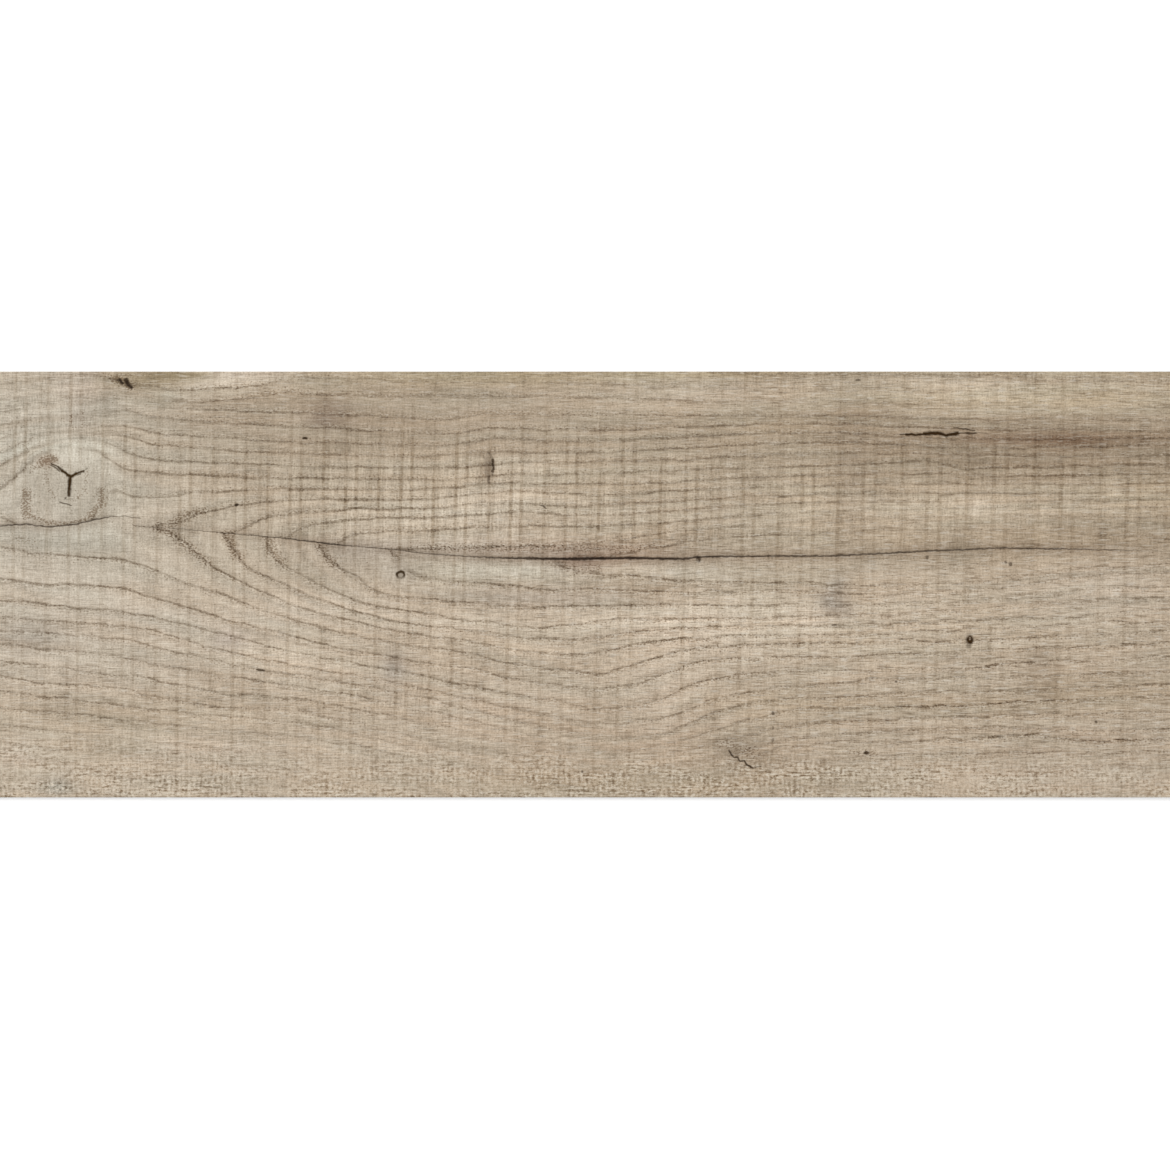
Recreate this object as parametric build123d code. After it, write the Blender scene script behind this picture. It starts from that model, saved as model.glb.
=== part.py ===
"""Vinyl floor plank: one pressed sheet of filled vinyl, cut to a rectangle for gluing down.

The plank lies flat on its back with its printed face up. X runs along the plank, Y across it and Z up.
The origin is the middle of the back. All sizes are in millimetres.
"""

import os

from build123d import *

# Driving dimensions
LENGTH = 1219.2  # 48 inches, along the grain of the print
WIDTH = 177.8  # 7 inches, across the grain
THICKNESS = 2.5  # overall, with the clear wear layer
BEVEL_WIDTH = 0.5  # flat width that the micro-bevel takes from the face on each side
BEVEL_DEPTH = 0.35  # how far down each edge the micro-bevel reaches


def cut_blank():
    """The rectangle punched from the pressed sheet, resting on z = 0, with four square edges."""
    with BuildPart() as blank:
        with BuildSketch(Plane.XY):
            Rectangle(LENGTH, WIDTH)
        extrude(amount=THICKNESS)
    return blank.part


def bevel_face_edges(blank):
    """Eases the four edges of the printed face, so that two laid planks meet in a shallow V."""
    face = blank.faces().sort_by(Axis.Z)[-1]
    return chamfer(face.edges(), BEVEL_WIDTH, BEVEL_DEPTH, reference=face)


def make_plank():
    """The whole plank as one solid."""
    return bevel_face_edges(cut_blank())


os.makedirs("parts", exist_ok=True)
export_step(make_plank(), "parts/plank.step")
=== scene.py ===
"""Looks of the vinyl floor plank: a printed and embossed oak board, laid face up on a pale floor.

The printed face is one fine mesh whose points carry the slow fields of the print: the growth-ring count,
the width of a ring, the base colour and how strong each mark is. The material draws everything fine from
those fields: broken ring lines, pores, fibres and saw marks. Places on the print are written in photograph
pixels (u to the right, v down) and turned into metres by the plank's own width.
"""

import math

import bpy
import numpy as np
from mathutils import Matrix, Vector


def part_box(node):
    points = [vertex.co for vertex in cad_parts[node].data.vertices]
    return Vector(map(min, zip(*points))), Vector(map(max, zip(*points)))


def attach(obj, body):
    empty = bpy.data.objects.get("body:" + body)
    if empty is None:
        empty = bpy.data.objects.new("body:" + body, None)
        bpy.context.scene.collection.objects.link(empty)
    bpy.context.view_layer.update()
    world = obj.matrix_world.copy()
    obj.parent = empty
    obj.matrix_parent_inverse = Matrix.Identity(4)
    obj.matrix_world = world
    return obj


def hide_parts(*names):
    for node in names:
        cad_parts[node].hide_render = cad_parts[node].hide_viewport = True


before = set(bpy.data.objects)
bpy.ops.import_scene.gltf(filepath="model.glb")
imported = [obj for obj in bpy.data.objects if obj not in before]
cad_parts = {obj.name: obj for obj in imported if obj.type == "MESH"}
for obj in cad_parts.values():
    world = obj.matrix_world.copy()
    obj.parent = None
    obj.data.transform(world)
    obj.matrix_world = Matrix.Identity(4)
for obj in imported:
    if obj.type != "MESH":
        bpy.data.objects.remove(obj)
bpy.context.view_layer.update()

# The photograph's frame
PHOTO_SIDE = 1170.0
PHOTO_CENTRE = (585.0, 584.5)
EDGE_ABOVE = 371.5  # the plank's far long edge in the photograph
EDGE_BELOW = 797.5  # its near long edge

# The plank, in metres
LOW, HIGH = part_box("plank")
LENGTH = HIGH[0] - LOW[0]
WIDTH = HIGH[1] - LOW[1]
TOP = HIGH[2]
PIXEL = WIDTH / (EDGE_BELOW - EDGE_ABOVE)
MILLIMETRE = 0.001
PIXEL_MM = PIXEL / MILLIMETRE
BEVEL_WIDTH = 0.5 * MILLIMETRE
BEVEL_DEPTH = 0.35 * MILLIMETRE

# How far the print runs past the photograph on each side
U_START = PHOTO_CENTRE[0] - LENGTH / 2 / PIXEL
U_END = PHOTO_CENTRE[0] + LENGTH / 2 / PIXEL

# The long drying split: a line along the plank, with its half-width and its strength at places along it
SPLIT_LINE = [
    (-400, 531), (-180, 529), (0, 526), (26, 524), (48, 527), (77, 524), (102, 518), (117, 516),
    (126, 521), (135, 526), (180, 529), (237, 534), (291, 539), (340, 545), (390, 549), (420, 553),
    (461, 556), (504, 558), (561, 559), (633, 558), (685, 559), (697, 557), (770, 556), (827, 556),
    (884, 553.5), (925, 551), (957, 550), (1000, 548), (1060, 549), (1110, 550), (1170, 551), (1400, 553),
]
SPLIT_HALF_WIDTH = [
    (-400, 0.5), (0, 0.9), (90, 1.0), (120, 0.5), (160, 0.5), (280, 0.6), (305, 0.85), (338, 0.9),
    (355, 0.6), (430, 0.65), (480, 0.9), (520, 1.3), (560, 1.8), (660, 1.5), (700, 1.1), (830, 1.0),
    (900, 1.1), (1060, 0.9), (1140, 0.6), (1400, 0.5),
]
SPLIT_STRENGTH = [
    (-420, 0.0), (-120, 0.5), (0, 0.75), (98, 0.7), (112, 0.3), (118, 0.0), (130, 0.0), (136, 0.4),
    (230, 0.55), (290, 0.75), (338, 0.85), (352, 0.55), (420, 0.55), (470, 0.65), (500, 0.8), (545, 0.95),
    (660, 0.95), (700, 0.85), (860, 0.75), (1060, 0.75), (1120, 0.5), (1165, 0.12), (1200, 0.0),
]

# Growth rings on the far side of the split, counted inwards, each by the points that its line passes
RINGS_FAR = {
    -2: [(0, 366), (300, 366), (600, 368), (784, 375), (1008, 376), (1047, 381), (1085, 382),
        (1170, 381)],
    -1: [(0, 384), (60, 378), (100, 376), (140, 386), (163, 389), (193, 390.5), (241, 387), (268, 383.6),
        (290, 379), (340, 378), (403, 381), (519, 382), (600, 384), (680, 388), (828, 391), (1000, 392),
        (1170, 395)],
    0: [(0, 400), (60, 393), (110, 388), (160, 399), (193, 403), (218, 402), (244, 398.4), (265, 394.6),
        (290, 392), (330, 394.6), (403, 396), (519, 396), (600, 398), (680, 401), (784, 402), (890, 404),
        (1095, 408), (1170, 408)],
    1: [(0, 413), (60, 404), (120, 399), (160, 407), (237, 411), (315, 413.5), (380, 417), (434, 420.5),
        (457, 420), (480, 414), (517, 413.5), (560, 415), (784, 416), (854, 416), (994, 420), (1056, 417),
        (1095, 421), (1170, 421)],
    2: [(0, 425), (27, 420), (51, 417), (71, 416), (100, 411), (122, 410), (153, 417), (200, 421),
        (269, 425), (352, 430), (437, 434.5), (468, 432), (485, 428), (560, 430), (622, 431), (668, 427),
        (724, 425.5), (817, 423), (900, 427), (1000, 430), (1170, 431)],
    3: [(0, 440), (20, 433), (38, 429), (69, 427), (127, 427), (159, 434.5), (216, 437), (273, 442),
        (337, 443), (449, 446), (468, 443), (488, 438), (560, 442), (616, 441), (668, 438), (771, 433),
        (825, 432), (900, 437), (1000, 440), (1170, 438)],
    4: [(0, 452), (25, 442), (45, 435), (70, 433), (105, 434), (130, 437), (159, 445), (216, 450),
        (325, 455), (430, 457), (475, 452), (578, 453), (668, 450), (719, 447), (784, 443), (842, 441.5),
        (957, 448.5), (1053, 448), (1170, 445)],
    5: [(0, 466), (25, 452), (45, 443), (69, 439), (94, 439), (108, 443), (119, 448.5), (130, 455),
        (158, 460), (237, 462.5), (308, 467), (456, 468), (507, 463), (591, 462), (693, 459), (807, 454),
        (890, 453), (1038, 456), (1170, 455.5)],
    6: [(0, 490), (18, 474), (30, 458), (45, 450), (70, 446), (98, 450), (112, 461), (125, 469),
        (153, 473), (263, 478), (449, 480), (510, 474), (591, 475), (699, 469), (828, 466), (920, 461),
        (967, 469), (1063, 466), (1170, 464)],
    7: [(93, 520), (103, 497), (111, 487), (135, 497.5), (163, 497), (193, 492.5), (290, 489),
        (398, 490.5), (437, 489), (481, 484), (623, 484), (740, 478), (841, 475), (960, 473), (994, 477),
        (1170, 474)],
    8: [(158, 527), (180, 522), (203, 514), (236, 505), (274, 501), (333, 499), (431, 500), (488, 492.5),
        (526, 491), (597, 496), (655, 492), (777, 487), (920, 483.6), (1072, 485), (1170, 483)],
    9: [(236, 533), (246, 527), (269, 516), (308, 512), (356, 509), (411, 509), (468, 506), (523, 503),
        (576, 507), (690, 501), (745, 496), (848, 494), (1000, 494), (1170, 492)],
    10: [(288, 537), (299, 528), (337, 521), (379, 518), (449, 517), (513, 512), (604, 515.5),
        (699, 508.5), (784, 503), (900, 501), (1170, 500)],
    11: [(337, 543), (346, 536), (360, 533.4), (405, 531.5), (448, 530), (481, 527), (530, 526.4),
        (600, 526), (660, 523), (720, 519), (784, 514), (900, 509), (1000, 508), (1170, 508)],
    12: [(398, 550), (425, 548.7), (449, 547.4), (519, 546), (566, 546), (600, 541.7), (634, 538.5),
        (665, 533.4), (720, 528), (784, 524), (900, 518), (1000, 516), (1170, 517)],
    13: [(604, 558), (611, 553.8), (632, 552), (668, 546), (675, 543), (704, 538.5), (736, 536.6),
        (800, 534), (900, 529), (1012, 529.6), (1065, 533), (1091, 536), (1170, 538)],
}
# Growth rings on the near side of the split
RINGS_NEAR = {
    13: [(550, 559), (566, 569.7), (587, 573.6), (622, 575.5), (640, 576), (678, 580.6), (699, 582),
        (801, 582.5), (839, 586), (886, 585), (959, 585), (990, 580), (1030, 574), (1100, 567),
        (1170, 565)],
    12: [(390, 550), (402, 566), (411, 576), (431, 577.4), (449, 580.6), (488, 583.8), (531, 587.6),
        (547, 590), (594, 589), (648, 590.8), (712, 591.4), (791, 590.8), (835, 594), (886, 594),
        (943, 591), (997, 587.6), (1028, 583), (1059, 578), (1100, 575), (1170, 573)],
    11: [(317, 543), (321, 554.4), (339, 567), (354, 574.8), (373, 590.8), (398, 597), (431, 599),
        (488, 604), (523, 606.7), (578, 606.7), (687, 604), (781, 604.8), (938, 603.5), (980, 600),
        (1040, 594), (1090, 589), (1124, 587), (1170, 586)],
    10: [(265, 538), (268, 553), (281, 563), (302, 576), (323, 586), (347, 597), (356, 602), (405, 610.5),
        (431, 614.4), (468, 621), (485, 621), (528, 627), (571, 625.9), (605, 620.8), (622, 617.6),
        (659, 618.9), (736, 618), (880, 615), (950, 611), (1026, 605), (1124, 598), (1170, 597)],
    9: [(225, 533), (230, 545), (235, 554), (246, 568.5), (263, 574.8), (295, 588.9), (314, 597.8),
        (344, 609), (382, 618), (429, 627), (449, 627), (488, 632), (527, 638.6), (576, 640), (595, 637),
        (631, 631), (688, 627), (771, 626), (858, 624.6), (920, 622), (1026, 617), (1076, 618),
        (1124, 612), (1170, 609)],
    8: [(158, 527), (180, 536), (197, 554), (213, 567), (246, 583.8), (269, 594.6), (290, 604.8),
        (337, 618), (351, 620), (379, 627.8), (417, 634.8), (462, 639), (503, 647.6), (544, 653),
        (582, 655), (599, 653), (623, 645.6), (659, 640.5), (756, 634), (835, 634), (920, 631),
        (1000, 628), (1057, 624.6), (1097, 622), (1170, 620.5)],
    7: [(0, 545.5), (36, 554.4), (76, 556), (125, 560), (157, 571.7), (199, 587.6), (219, 593),
        (251, 606), (288, 617.6), (308, 624), (347, 633.5), (398, 643), (452, 650.7), (488, 657),
        (499, 661.6), (545, 668.6), (578, 671.8), (596, 674), (611, 671.8), (640, 663.5), (661, 657),
        (674, 651.4), (693, 648), (773, 644), (835, 642.4), (914, 640), (960, 641), (1028, 636.7),
        (1087, 634.8), (1143, 631.6), (1170, 630)],
    6: [(0, 579), (48, 585.7), (70, 583.8), (128, 589.5), (153, 597.8), (199, 611), (230, 621.4),
        (254, 625.9), (288, 634.8), (328, 645), (383, 655), (416, 661.6), (465, 666.8), (490, 672.5),
        (526, 682), (559, 686), (601, 688), (634, 684.6), (660, 675.6), (687, 664.8), (717, 659),
        (791, 656.5), (835, 657.8), (881, 654.6), (938, 652.8), (997, 649), (1069, 647.6), (1170, 643)],
    5: [(0, 600), (64, 606.5), (121, 611), (157, 618), (199, 628.4), (249, 641), (308, 655.8), (346, 661),
        (393, 670), (452, 681.5), (500, 692), (540, 699), (558, 700.6), (586, 709), (619, 709.5),
        (652, 702.5), (678, 690), (712, 678), (745, 673.7), (791, 670), (858, 668.6), (960, 669),
        (1012, 663), (1054, 660), (1114, 659.8), (1170, 656)],
    4: [(0, 617.6), (73, 622), (134, 627), (158, 632), (199, 643.7), (244, 655.8), (282, 663),
        (346, 673.8), (398, 683), (457, 695.5), (507, 707), (550, 716), (588, 723), (620, 723),
        (659, 719), (692, 709), (704, 702), (745, 691.7), (791, 686.6), (835, 684.6), (870, 679),
        (960, 677), (1072, 673.8), (1170, 671)],
    3: [(0, 629.7), (83, 635), (135, 641), (147, 645.6), (199, 656.5), (246, 667), (288, 673), (359, 685),
        (415, 696), (466, 707.6), (497, 716.5), (570, 732), (622, 738), (661, 735), (690, 722),
        (722, 710), (758, 701), (814, 699), (873, 694.8), (950, 692), (1029, 689), (1170, 684)],
    2: [(0, 645), (51, 648.8), (129, 657), (166, 666), (231, 677), (287, 685), (339, 692), (383, 700.6),
        (429, 712), (485, 723), (548, 739), (611, 749), (650, 747), (693, 738), (736, 723), (796, 709.5),
        (862, 706), (961, 705.7), (1028, 700.6), (1071, 699), (1170, 695.5)],
    1: [(0, 661), (74, 669), (92, 673.4), (134, 674.7), (168, 684), (236, 694.8), (276, 696.8),
        (343, 706), (396, 716.5), (449, 727), (507, 739.5), (560, 750), (600, 758), (640, 758),
        (680, 753), (735, 737), (796, 725.5), (849, 720), (983, 716.5), (1170, 711)],
    0: [(0, 676), (50, 684), (89, 685), (121, 688.5), (166, 698.7), (244, 709.5), (288, 709.5),
        (345, 720), (405, 735), (449, 744), (560, 762), (640, 767), (700, 764), (740, 752), (796, 736),
        (880, 731), (994, 727.4), (1105, 730), (1170, 728)],
    -1: [(0, 691), (66, 698.7), (124, 705), (200, 714), (264, 719), (313, 724), (362, 735), (415, 749.7),
        (500, 763), (600, 775), (700, 775), (775, 748), (841, 741), (916, 741), (989, 737), (1036, 734.4),
        (1097, 740.8), (1170, 739)],
    -2: [(0, 707), (70, 713), (121, 719), (203, 729), (288, 735), (356, 745), (450, 765), (600, 790),
        (720, 788), (800, 760), (900, 754), (1170, 752)],
    -3: [(0, 724), (79, 734), (134, 740), (200, 746), (300, 753), (400, 769), (600, 805), (720, 800),
        (800, 774), (1170, 765)],
    -4: [(0, 742), (45, 747), (200, 760), (400, 786), (600, 820), (800, 790), (1170, 779)],
    -5: [(0, 760), (200, 775), (400, 802), (800, 806), (1170, 793)],
}
# The ring count along the split itself, which climbs where the flat-sawn arches close
HEART_FAR = [
    (-876, 7.6), (0, 7.3), (17, 7.0), (50, 6.75), (93, 7.0), (120, 7.45), (158, 8), (236, 9), (288, 10),
    (337, 11), (398, 12), (604, 13), (760, 13.7), (1170, 13.9), (2046, 13.9),
]
HEART_NEAR = [
    (-876, 7.7), (0, 7.6), (110, 7.6), (158, 8), (225, 9), (265, 10), (317, 11), (390, 12), (550, 13),
    (760, 13.8), (1170, 13.9), (2046, 13.9),
]
RING_PITCH = 14.0  # the pitch past the last known ring
LINE_SMOOTHING = 5.0  # pixels over which the corners of a ring's line are rounded

# Broad shades of the print: centre, reach and how much they add, to all colours or red, green and blue
BASE_SHADE = (191.0, 175.0, 153.5)
SHADES = [
    # lighter wood below the split, a pale grey-green left end and browner wood to the right
    (600, 690, 1600, 120, (5.2, 4.2, 4.3)), (20, 470, 150, 120, (3, 9, 14)),
    (60, 640, 210, 120, (1, 3, 5)), (65, 449, 75, 16, (13, 15, 15)), (60, 540, 130, 12, (-8, -6, -5)),
    (1120, 500, 420, 200, (-5.2, -6.6, -8.3)),
    # the brown upper middle and upper right
    (365, 423, 245, 36, (-15, -16, -16)), (325, 447, 50, 16, -7),
    (350, 391, 110, 10, (-7, -8, -9)), (760, 440, 220, 60, -7),
    (1085, 447, 215, 31, (-25, -26, -25)), (780, 424, 70, 18, (-5, -6, -7)),
    # the pale strip and the darker rim along the far edge
    (1040, 398, 190, 14, (13, 13, 9)), (720, 392, 90, 14, (11, 10, 10)), (970, 390, 70, 14, (8, 8, 9)),
    (230, 380, 48, 8, (20, 22, 24)), (80, 382, 24, 16, (8, 6, 8)), (1000, 372, 420, 4, (-11, -11, -14)),
    (480, 375, 150, 9, (-13, -13, -19)), (700, 374, 90, 5, (-3, -3, -7)),
    (148, 378, 52, 12, (-30, -31, -36)), (188, 374, 30, 6, (-24, -25, -30)),
    (134, 387, 20, 4, (-23, -24, -24)), (250, 374, 36, 4, (11, 11, 13)),
    (196, 385, 34, 3.5, (12, 12, 13)), (221, 376, 12, 4, (11, 11, 13)), (165, 393, 18, 6, (11, 13, 14)),
    (154, 403, 14, 5, (-10, -9, -9)),
    # lighter wood between the brown top and the split
    (505, 490, 50, 60, (7, 7, 8)), (425, 514, 75, 24, (17, 19, 20)), (520, 475, 110, 30, (6, 6, 5)),
    (620, 505, 120, 18, 5), (808, 505, 30, 34, (11, 11, 10)), (950, 508, 90, 16, (12, 12, 11)),
    (1020, 508, 190, 22, 9), (1150, 495, 60, 18, (8, 8, 6)),
    # darker wood that leans on the split, and the pale crescent and the grey band under it
    (960, 545, 270, 18, -10), (1100, 530, 110, 20, -11),
    (600, 553, 110, 13, (-13, -17, -16)), (450, 549, 130, 9, (-4, -3, 0)),
    (505, 570, 80, 11, (18, 25, 28)), (670, 572, 65, 9, (11, 14, 16)), (905, 568, 60, 12, (-6, -4, -2)),
    (540, 597, 95, 10, (-11, -9, -5)), (582, 564, 26, 9, (-30, -34, -32)),
    # cream wood in the lower middle
    (440, 621, 90, 10, 15), (600, 620, 130, 15, 10), (740, 616, 95, 27, 19),
    (808, 622, 20, 15, (18, 17, 17)), (680, 640, 70, 22, (10, 9, 9)), (905, 603, 46, 26, (10, 9, 9)),
    (1110, 588, 110, 40, (11, 12, 14)), (900, 638, 300, 32, (6, 7, 7)), (290, 657, 64, 17, (17, 16, 15)),
    (120, 588, 110, 26, 6), (330, 606, 80, 15, (10, 11, 12)), (200, 622, 95, 18, (8, 9, 10)),
    (480, 714, 46, 18, (8, 7, 7)), (660, 710, 26, 50, (6, 5, 5)), (1040, 782, 150, 16, (8, 7, 7)),
    (215, 750, 60, 13, (13, 12, 12)), (400, 750, 110, 14, 6), (690, 700, 50, 26, 5),
    # brown wash along the lower edge and the lower right
    (110, 715, 150, 24, (-9, -10, -12)), (640, 745, 220, 34, (-6, -8, -9)),
    (650, 785, 230, 16, (-9, -10, -12)), (960, 704, 240, 14, (-7, -7, -8)),
    (1041, 666, 15, 30, (-24, -24, -23)), (1110, 690, 80, 18, (-7, -7, -8)),
    (780, 705, 60, 24, (-5, -5, -6)), (1070, 662, 100, 14, (-4, -5, -5)),
    (1090, 738, 100, 34, (-4, -5, -5)), (100, 750, 45, 12, (-8, -8, -9)), (16, 756, 18, 9, (10, 9, 10)),
    (715, 752, 45, 14, -6), (357, 556, 42, 22, (-12, -10, -7)),
    (402, 573, 20, 14, (-9, -7, -4)),
    # the plain straight-grained ends past the photograph
    (-300, 452, 210, 34, (-9, -10, -10)), (-560, 705, 260, 36, (-8, -8, -9)),
    (-170, 712, 170, 26, 6), (-690, 500, 170, 52, (6, 7, 8)), (-470, 566, 210, 15, (-9, -9, -8)),
    (-800, 640, 150, 24, (-8, -9, -9)), (1420, 648, 230, 32, -8),
    (1600, 470, 260, 44, (-10, -11, -11)), (1830, 622, 200, 52, 7),
    (1340, 584, 130, 16, 10), (1700, 742, 300, 22, (-7, -8, -9)),
    (1950, 425, 150, 36, (6, 6, 5)),
    # grey stains and the dark band across the plank
    (330, 413, 24, 16, (-26, -26, -23)), (322, 421, 12, 8, (-12, -12, -10)),
    (850, 450, 19, 105, (-11, -11, -10)), (877, 416, 40, 14, (-9, -10, -10)),
    (832, 601, 14, 13, (-31, -27, -20)), (838, 584, 10, 9, (-14, -11, -7)),
    (846, 612, 12, 9, (-14, -12, -9)), (394, 668, 13, 16, (-25, -22, -16)),
    (30, 636, 38, 16, (-13, -11, -8)), (228, 640, 16, 10, (-6, -7, -3)), (58, 786, 16, 9, (-22, -14, -8)),
    (166, 400, 12, 8, (-16, -13, -12)), (78, 416, 12, 16, (-13, -13, -11)),
    (106, 405, 14, 10, (-14, -12, -10)), (47, 481, 36, 24, -12),
    # brown smears by the cracks, and pale glints
    (738, 747, 24, 11, (-24, -23, -21)), (1074, 441, 30, 9, (-21, -22, -21)),
    (1030, 439, 120, 6, (-14, -19, -19)), (47, 461, 10, 6, (-22, -30, -32)),
    (975, 506, 13, 8, (18, 19, 21)), (945, 439, 12, 2.5, (14, 14, 12)),
    (487.5, 467, 6, 14, (-16, -19, -19)),
]

# How clear the ring lines are, and how strong other marks are: a value all over, and what places add
LINE_CLARITY = 0.8
LINE_PLACES = [
    # faint or lost: the corner above the knot, the knot, the top strip, the top right and the bottom strip
    (45, 392, 95, 34, -0.62), (154, 402, 26, 10, -0.7), (60, 436, 62, 20, -0.4), (70, 480, 44, 32, -0.75),
    (450, 381, 260, 14, -0.45), (1030, 399, 220, 24, -0.65), (790, 392, 170, 20, -0.4),
    (585, 790, 1600, 34, -0.85), (1000, 478, 260, 50, -0.28), (950, 525, 330, 24, -0.4),
    (1000, 590, 260, 40, -0.3), (1000, 690, 320, 60, -0.18), (100, 508, 9, 14, -0.6),
    (150, 745, 240, 28, -0.4), (560, 742, 240, 36, -0.4), (402, 564, 14, 13, -0.8),
    # clear: the arches on the left, and single lines
    (250, 540, 170, 70, 0.12), (400, 450, 300, 60, -0.2), (690, 660, 90, 50, 0.1),
    (200, 650, 260, 70, -0.12), (985, 703, 110, 5, 0.6), (990, 737, 55, 5, 0.6), (1010, 664, 50, 5, 0.45),
    (245, 388, 60, 6, 0.7), (870, 641, 300, 4, 0.2), (1130, 741, 60, 5, 0.4), (975, 468, 45, 4, 0.4),
    (1065, 475, 55, 4, 0.4),
]
SAW_STRENGTH = 0.58
SAW_PLACES = [
    (380, 490, 250, 75, 0.6), (720, 490, 260, 60, 0.25), (50, 425, 75, 60, 0.75),
    (1000, 470, 200, 70, 0.25), (400, 385, 300, 14, -0.15), (900, 383, 350, 12, 0.2),
    (1050, 640, 200, 80, -0.1), (70, 480, 40, 40, -0.4), (540, 640, 220, 90, 0.12),
    (585, 412, 900, 28, -0.38), (585, 534, 900, 16, 0.25), (300, 695, 320, 40, 0.12),
]
STREAK_STRENGTH = 0.6
STREAK_PLACES = [
    (1000, 650, 330, 130, 0.18), (1000, 392, 300, 22, 0.2), (600, 785, 900, 24, -0.25),
    (1000, 470, 260, 60, -0.25), (60, 480, 80, 80, -0.35), (250, 560, 230, 90, -0.3),
    (400, 450, 280, 60, -0.3),
]
PORE_STRENGTH = 0.65
PORE_PLACES = [
    (215, 568, 34, 14, 0.3), (500, 547, 90, 6, 0.35), (600, 780, 900, 22, 0.35), (70, 477, 60, 40, -0.4),
    (690, 670, 80, 60, 0.3), (1000, 470, 260, 70, -0.25),
]
# The rough-sawn strip along the near edge
ROUGH_PLACES = [
    (600, 804, 2600, 36, 1.0), (880, 800, 300, 40, -0.05), (110, 770, 190, 24, 0.32),
    (500, 760, 150, 16, 0.25), (930, 770, 200, 15, 0.45), (20, 755, 40, 14, 0.4),
    (170, 750, 240, 12, 0.25), (640, 772, 240, 14, 0.3),
]
STRONGEST = 1.2  # limit of the saw marks and the streaks

# Cracks and short dark dashes: points along each, its half-width in pixels and how dark it is
CRACKS = [
    # the star in the knot
    ([(70.5, 477), (62, 470.6)], 2.0, 1.0), ([(62, 470.6), (58, 467.4)], 1.5, 0.9),
    ([(58, 467.4), (51, 463)], 0.9, 0.9), ([(59, 470.4), (54.5, 467.6), (51.5, 465)], 0.9, 0.75),
    ([(70.5, 477), (76.5, 473.4)], 2.1, 1.0), ([(76.5, 473.4), (83.5, 471.2)], 1.3, 0.95),
    ([(77, 475), (80, 474)], 1.1, 0.7), ([(86, 469.6), (87, 468.6)], 0.9, 0.5),
    ([(70.5, 477), (69.8, 482)], 2.4, 1.0), ([(69.8, 482), (69.4, 489)], 2.1, 1.0),
    ([(69.2, 489), (68.8, 495)], 2.1, 0.95), ([(65, 498), (66, 497.6)], 1.2, 0.7),
    ([(60, 501.8), (65, 503.8), (71, 505.2)], 0.8, 0.75), ([(67, 499), (73, 499.4)], 0.6, 0.45),
    # the spots in the knot that the far edge cuts
    ([(119.6, 379.6), (122.6, 383.2)], 1.7, 0.9),
    ([(126.2, 379.8), (127.6, 384), (131, 387.4)], 2.3, 0.92),
    # the tail of the split past the knot
    ([(98, 519.5), (110, 516.6), (124, 516.2), (140, 518)], 0.6, 0.5),
    # the crack near the lower edge
    ([(729, 751), (733.5, 757), (737.5, 757.6), (740, 760.8), (744, 761)], 0.9, 0.85),
    ([(744, 761), (747.5, 765.6), (753, 768)], 1.1, 0.9), ([(753, 768), (761, 766)], 0.8, 0.6),
    # the check at the upper right
    ([(900, 434.6), (910, 434.5)], 0.8, 0.8), ([(906, 434.5), (926, 434.4)], 1.5, 1.0),
    ([(924, 433.7), (938, 433)], 2.2, 1.0),
    ([(938, 433), (943, 434.4), (946, 435.4), (951, 434.6), (958, 433.1)], 2.2, 1.0),
    ([(958, 433.1), (976, 433.2)], 1.1, 0.85), ([(954, 427.9), (966, 429), (975, 430.8)], 0.9, 0.75),
    ([(945.4, 436), (946, 437.6)], 0.9, 0.7), ([(978, 432.6), (988, 433.4)], 0.8, 0.4),
    # the rim of the scar
    ([(488, 452), (491, 455.5), (492.8, 460)], 1.5, 0.45), ([(492.8, 460), (493.2, 469)], 1.6, 0.9),
    ([(492.8, 470.6), (492.6, 472)], 1.5, 0.85), ([(492.6, 472), (492.4, 475.5)], 1.0, 0.5),
    ([(488.8, 476.5), (489, 482)], 1.8, 0.6), ([(484.4, 457), (485.2, 459.5)], 1.5, 0.3),
    # short dark dashes
    ([(541, 505), (546, 508)], 0.8, 0.75), ([(257, 669.4), (264, 670.4)], 1.1, 0.85),
]
# Worm holes and dark specks: centre, half-size across and down, and how dark
HOLES = [
    (970.2, 640, 4.6, 6.0, 1.0), (969.3, 645.8, 2.9, 3.4, 0.5), (698.5, 559.5, 2.8, 3.2, 0.85),
    (118.8, 380.4, 3.4, 1.9, 0.6), (305, 438, 3.4, 1.7, 0.98), (236.5, 505, 2.6, 1.7, 0.9),
    (400.4, 576.2, 2.8, 2.8, 0.32), (866.5, 753, 3.2, 1.9, 0.92), (858, 380, 2.8, 1.7, 0.7),
    (1006, 562.5, 1.6, 1.8, 0.6), (1010.5, 563.8, 2.3, 2.5, 0.68), (927, 557.5, 2.2, 2.6, 0.6),
    (834, 625, 3.4, 1.6, 0.6), (582, 772, 1.4, 2.0, 0.7), (896, 682, 1.5, 1.7, 0.7),
    (1096, 722, 1.6, 1.8, 0.7), (773, 713, 1.6, 2.2, 0.6), (773, 728, 1.4, 2.4, 0.5),
    (773, 740, 1.4, 2.0, 0.5),
]
# Painted highlights (glints) inside some of the holes, which take back part of their dark: centre, half-size
# across and down, and how much of the dark they take back
PAINTED_HOLE_GLINTS = [(969.8, 638.6, 1.5, 1.9, 0.6), (697.6, 560.6, 1.7, 1.9, 0.5)]
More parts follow.
